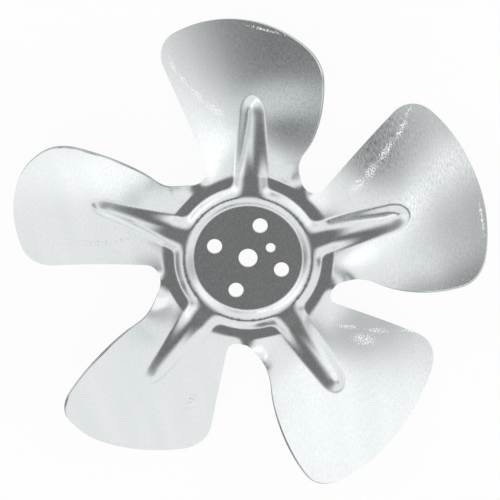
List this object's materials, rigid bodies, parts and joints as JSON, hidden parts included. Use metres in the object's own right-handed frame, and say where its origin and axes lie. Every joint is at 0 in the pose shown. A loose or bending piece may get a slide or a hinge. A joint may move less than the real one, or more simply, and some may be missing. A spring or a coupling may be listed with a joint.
{
  "type": "axial fan impeller",
  "caption": "Pressed sheet aluminium axial fan impeller with broad twisted blades, a raised ring round its bolt-on disc, and a stiffening rib along each blade.",
  "frame": {"origin": "centre of the shaft hole in the disc's front face", "axes": "+Z along the fan axis out of the front face, the side that the ring and the ribs stand out of; +Y along the first blade's rib"},
  "size_m": [0.1687, 0.1659, 0.0498],
  "materials": {
    "aluminium": "mill finish, fine rolling grain"
  },
  "bodies": {
    "root": {"impeller": "aluminium"}
  },
  "joints": []
}
